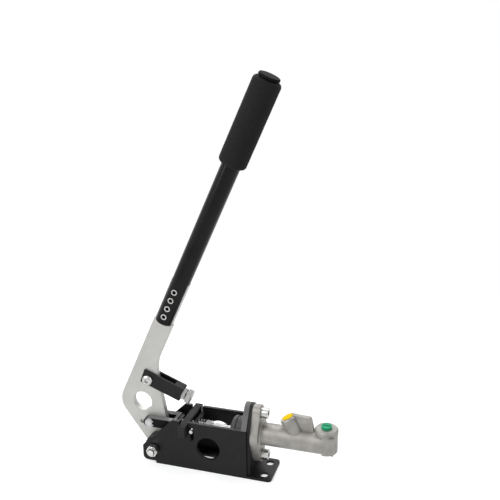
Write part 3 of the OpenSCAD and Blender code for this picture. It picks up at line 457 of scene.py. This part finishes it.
def rounded_metal():
    """Rounds the edges of metal and moulded nodes, each by its own width."""
    for node, width in (
        ("base_plate", 0.0006), ("left_side_plate", 0.0006), ("right_side_plate", 0.0004),
        ("front_plate", 0.0006), ("flange_spacer", 0.0004), ("pivot_spacers", 0.0006),
        ("lever_plate", 0.0006), ("stop_arm", 0.0005), ("cylinder_body", 0.0006),
        ("pivot_nut", 0.0003), ("pivot_washers", 0.0003), ("arm_nut", 0.0003),
        ("stop_screw", 0.0003), ("stop_screw_nut", 0.0004), ("flange_bolts", 0.0005),
        ("flange_washers", 0.0003), ("clevis_pin", 0.0005), ("rod_guide", 0.0005),
        ("handle_tube", 0.0003), ("guide_pin", 0.0004), ("outlet_plug", 0.0005),
        ("inlet_plug", 0.0004), ("pushrod_nut", 0.0002), ("pivot_bolt", 0.0012),
    ):
        softened(node, width)


def second_finish(piece, finish, chosen):
    """Gives the faces that are chosen another finish than the rest."""
    piece.data.materials.append(FINISH[finish])
    for face in piece.data.polygons:
        if chosen(face):
            face.material_index = 1


def clevis_with_painted_top():
    """The clevis, black on its sides, with a painted highlight in pale grey along its flat top."""
    piece = softened("clevis", 0.0007)
    to_rod = rod_frame().inverted()
    up = rod_frame().to_3x3() @ Vector((-1, 0, 0))

    def on_top(face):
        return face.normal.dot(up) > FACES_UP and (to_rod @ face.center).z < CLEVIS_NOSE

    # The flat top faces get the painted highlight
    second_finish(piece, "clevis_top_painted_highlight", on_top)


def bar_with_painted_ends():
    """The cross bar, paler on both its end faces as a painted highlight for the light they catch.
    """
    piece = softened("cross_bar", 0.0009)
    # Faces turned along Y, the bar's ends, get the painted highlight
    second_finish(piece, "bar_end_painted_light", lambda face: abs(face.normal.y) > FACES_SIDEWAYS)


def socket_screws():
    """The handle's screws, with painted shade down in their sockets."""
    piece = softened("tube_screws", 0.0003)
    verts = piece.data.vertices

    def in_socket(face):
        deepest = max(verts[i].co.y for i in face.vertices)
        return face.center.y > SCREW_FACE + SOCKET_RIM and deepest < SCREW_SEAT - SOCKET_FLOOR

    # Faces down in the socket get the painted shade
    second_finish(piece, "socket_painted_shade", in_socket)


def turned(outline, place, steps):
    """A bmesh of an outline of radius and height, turned about Z and put in place."""
    bm = bmesh.new()
    verts = [bm.verts.new((r, 0.0, z)) for r, z in outline]
    edges = [bm.edges.new(pair) for pair in zip(verts, verts[1:])]
    bmesh.ops.spin(bm, geom=verts + edges, cent=(0, 0, 0), axis=(0, 0, 1), dvec=(0, 0, 0),
                   angle=2 * math.pi, steps=steps, use_merge=True, use_duplicate=False)
    bmesh.ops.remove_doubles(bm, verts=bm.verts, dist=TURNED_WELD)
    bmesh.ops.recalc_face_normals(bm, faces=bm.faces)
    bmesh.ops.transform(bm, matrix=place, verts=bm.verts)
    return bm


def rolled_end(first, centre):
    """A quarter circle of the grip's outline, from an angle in degrees."""
    angles = [math.radians(first + 90 * i / LIP_STEPS) for i in range(LIP_STEPS + 1)]
    return [(GRIP_R - GRIP_LIP + GRIP_LIP * math.cos(a), centre + GRIP_LIP * math.sin(a))
            for a in angles]


def foam_grip():
    """The foam grip: a soft barrel with rolled ends and fine open pores."""
    inner = TUBE_R + GRIP_SLACK
    straight = GRIP_LENGTH - 2 * GRIP_LIP
    outline = [(inner, 0.0)] + rolled_end(-90, GRIP_LIP)
    outline += [(GRIP_R, GRIP_LIP + straight * (i / GRIP_ROWS)) for i in range(1, GRIP_ROWS)]
    outline += rolled_end(0, GRIP_LENGTH - GRIP_LIP) + [(inner, GRIP_LENGTH), (inner, 0.0)]
    start = Vector((0, 0, TUBE_START + TUBE_LENGTH - GRIP_LENGTH))
    bm = turned(outline, handle_frame() @ Matrix.Translation(start), GRIP_STEPS)
    bm.normal_update()
    foot = handle_frame() @ start
    axis = (handle_frame().to_3x3() @ Vector((0, 0, 1))).normalized()
    for v in bm.verts:
        along = (v.co - foot).dot(axis)
        out = v.co - foot - along * axis
        if out.length > TUBE_R + GRIP_SKIN:
            swell = 0.5 + 0.5 * noise.noise(v.co * SWELL_SCALE)
            pore = max(0.0, noise.noise(v.co * PORE_SCALE))
            v.co -= v.normal * (SWELL_DEPTH * swell + PORE_DEPTH * pore)
    piece = add_piece(bm, "foam_grip", "grip", "grip_foam", ("grip",))


def thread(r, start, end):
    """Outline of a screw thread's ridges from start to end."""
    turns = int((end - start) / THREAD_PITCH)
    step = (end - start) / turns
    ridge = ((0.0, THREAD_DEPTH), (0.35, 0.0), (0.6, 0.0), (0.95, THREAD_DEPTH))
    return [(r - cut, start + (i + t) * step) for i in range(turns) for t, cut in ridge]


def threaded_pushrod():
    """The push rod with its thread, plain end and ball."""
    thread_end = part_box("pushrod_nut")[1][0] - CLEVIS_PIN.x + THREAD_PAST_NUT
    outline = [(0.0, ROD_START)] + thread(ROD_R, ROD_START, thread_end)
    outline += [(ROD_R, thread_end + THREAD_RUN_OUT), (ROD_R, ROD_REACH - 2 * BALL_R)]
    outline.append((NECK_R, ROD_REACH - BALL_R + NECK_INTO_BALL))
    sweep = math.pi - math.asin(NECK_R / BALL_R)
    for i in range(BALL_STEPS + 1):
        a = sweep - sweep * i / BALL_STEPS
        outline.append((max(BALL_R * math.sin(a), 0.0), ROD_REACH + BALL_R * math.cos(a)))
    bm = turned(outline, rod_frame(), ROUND_STEPS)
    add_piece(bm, "pushrod_thread", "pushrod", "zinc_steel", ("pushrod",))


def pressed_spring():
    """The cylinder's return spring, as a piece with a mesh of its own."""
    bm = node_copy("return_spring")
    piece = add_piece(bm, "return_coil", "return_spring", "spring_steel", ("return_spring",))
    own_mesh(piece)


def drawn_spring():
    """The push rod's spring, which stays on the guide rather than riding with the push rod."""
    piece = add_piece(node_copy("pushrod_spring"), "rod_coil", "pushrod_spring", "spring_steel",
                      ("pushrod_spring",), finish_of("pushrod_spring"), rides=False)
    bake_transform(piece)


def nylon_ring():
    """The lock nut's plastic ring, set down in its collar."""
    middle = (RING_INNER + RING_OUTER) / 2
    outline = [(RING_INNER, 0.0), (RING_OUTER, 0.0), (RING_OUTER, RING_EDGE),
               (middle, RING_CROWN), (RING_INNER, RING_EDGE), (RING_INNER, 0.0)]
    top = Vector((PIVOT.x, -HALF_WIDTH - WASHER_THICK - NUT_HEIGHT, PIVOT.z))
    place = Matrix.Translation(top) @ Matrix.Rotation(math.radians(90), 4, "X")
    add_piece(turned(outline, place, ROUND_STEPS), "nut_ring", "pivot_nut", "rubber_dark")


# Stage and light

def larger(tree, first, second):
    """The larger of two values."""
    node = tree.nodes.new("ShaderNodeMath")
    node.operation = "MAXIMUM"
    tree.links.new(first, node.inputs[0])
    tree.links.new(second, node.inputs[1])
    return node.outputs[0]


def mixed(tree, share, first, second):
    """Goes from the first shader to the second by a share."""
    node = tree.nodes.new("ShaderNodeMixShader")
    tree.links.new(share, node.inputs["Fac"])
    tree.links.new(first, node.inputs[1])
    tree.links.new(second, node.inputs[2])
    return node.outputs[0]


def seen_white(tree):
    """1 where the background is looked at, straight on, in a gloss or through glass."""
    path = tree.nodes.new("ShaderNodeLightPath").outputs
    seen = larger(tree, path["Is Camera Ray"], path["Is Glossy Ray"])
    return larger(tree, seen, path["Is Transmission Ray"])


def even_light(tree, kind, strength, color=(1, 1, 1, 1)):
    """A glowing surface or background."""
    return add_node(tree, kind, Color=color, Strength=strength).outputs[0]


def matt(tree, shade):
    """A plain grey surface."""
    return add_node(tree, "ShaderNodeBsdfDiffuse", Color=(shade, shade, shade, 1)).outputs[0]


def floor_white():
    """White paper that takes the part's shadow and fades to plain white further off."""
    mat = bpy.data.materials.new("floor_white")
    mat.use_nodes = True
    tree = mat.node_tree
    tree.nodes.clear()
    out = tree.nodes.new("ShaderNodeOutputMaterial")
    paper = tree.nodes.new("ShaderNodeAddShader")
    tree.links.new(matt(tree, 0.72), paper.inputs[0])
    tree.links.new(even_light(tree, "ShaderNodeEmission", 0.45), paper.inputs[1])
    coords = tree.nodes.new("ShaderNodeTexCoord")
    distance = tree.nodes.new("ShaderNodeVectorMath")
    distance.operation = "LENGTH"
    tree.links.new(coords.outputs["Object"], distance.inputs[0])
    fade = add_node(tree, "ShaderNodeMapRange", From_Min=FADE_START, From_Max=FADE_END)
    tree.links.new(distance.outputs["Value"], fade.inputs["Value"])
    far = even_light(tree, "ShaderNodeEmission", 1.0)
    white = mixed(tree, fade.outputs["Result"], paper.outputs[0], far)
    surface = mixed(tree, seen_white(tree), matt(tree, 0.75), white)
    tree.links.new(surface, out.inputs["Surface"])
    return mat


def white_floor():
    """The floor, a hair below the part."""
    bm = bmesh.new()
    bmesh.ops.create_grid(bm, x_segments=1, y_segments=1, size=FLOOR_SIZE)
    mesh = bpy.data.meshes.new("floor")
    bm.to_mesh(mesh)
    bm.free()
    floor = bpy.data.objects.new("floor", mesh)
    floor.location = (0, 0, -FLOOR_DROP)
    bpy.context.scene.collection.objects.link(floor)
    mesh.materials.append(floor_white())


def white_world():
    """A background that is seen white and gives a softer light."""
    world = bpy.data.worlds.new("studio")
    bpy.context.scene.world = world
    world.use_nodes = True
    tree = world.node_tree
    tree.nodes.clear()
    out = tree.nodes.new("ShaderNodeOutputWorld")
    soft = even_light(tree, "ShaderNodeBackground", 0.5, (0.95, 0.97, 1.0, 1))
    white = even_light(tree, "ShaderNodeBackground", 1.0)
    tree.links.new(mixed(tree, seen_white(tree), soft, white), out.inputs["Surface"])


def soft_lamp(name, place, target, size, power):
    """A square lamp that looks at a point."""
    data = bpy.data.lights.new(name, "AREA")
    data.shape = "SQUARE"
    data.size = size
    data.energy = power
    lamp = bpy.data.objects.new(name, data)
    lamp.location = place
    lamp.rotation_mode = "QUATERNION"
    lamp.rotation_quaternion = (Vector(target) - Vector(place)).to_track_quat("-Z", "Y")
    bpy.context.scene.collection.objects.link(lamp)


def studio_light():
    """Key, fill and back lamps, and a small one for the streak on the tube."""
    soft_lamp("key_left", (-0.9, -1.1, 1.3), (0, 0, 0.2), 0.9, 17.0)
    soft_lamp("fill_right", (1.3, -0.8, 0.9), (0, 0, 0.15), 0.8, 3.0)
    soft_lamp("top_back", (0.1, 0.7, 1.5), (0, 0, 0.2), 1.0, 12.5)
    soft_lamp("low_left", (-1.05, -0.9, 0.55), (0.02, 0, 0.38), 0.35, 2.5)
    soft_lamp("rim_back_left", (-0.85, 1.3, 0.9), (-0.06, 0, 0.05), 0.5, 8.0)


bpy.context.scene.view_settings.view_transform = "Standard"
place_camera()
dress_nodes()
rounded_metal()
clevis_with_painted_top()
bar_with_painted_ends()
socket_screws()
foam_grip()
threaded_pushrod()
pressed_spring()
drawn_spring()
nylon_ring()
white_floor()
white_world()
studio_light()
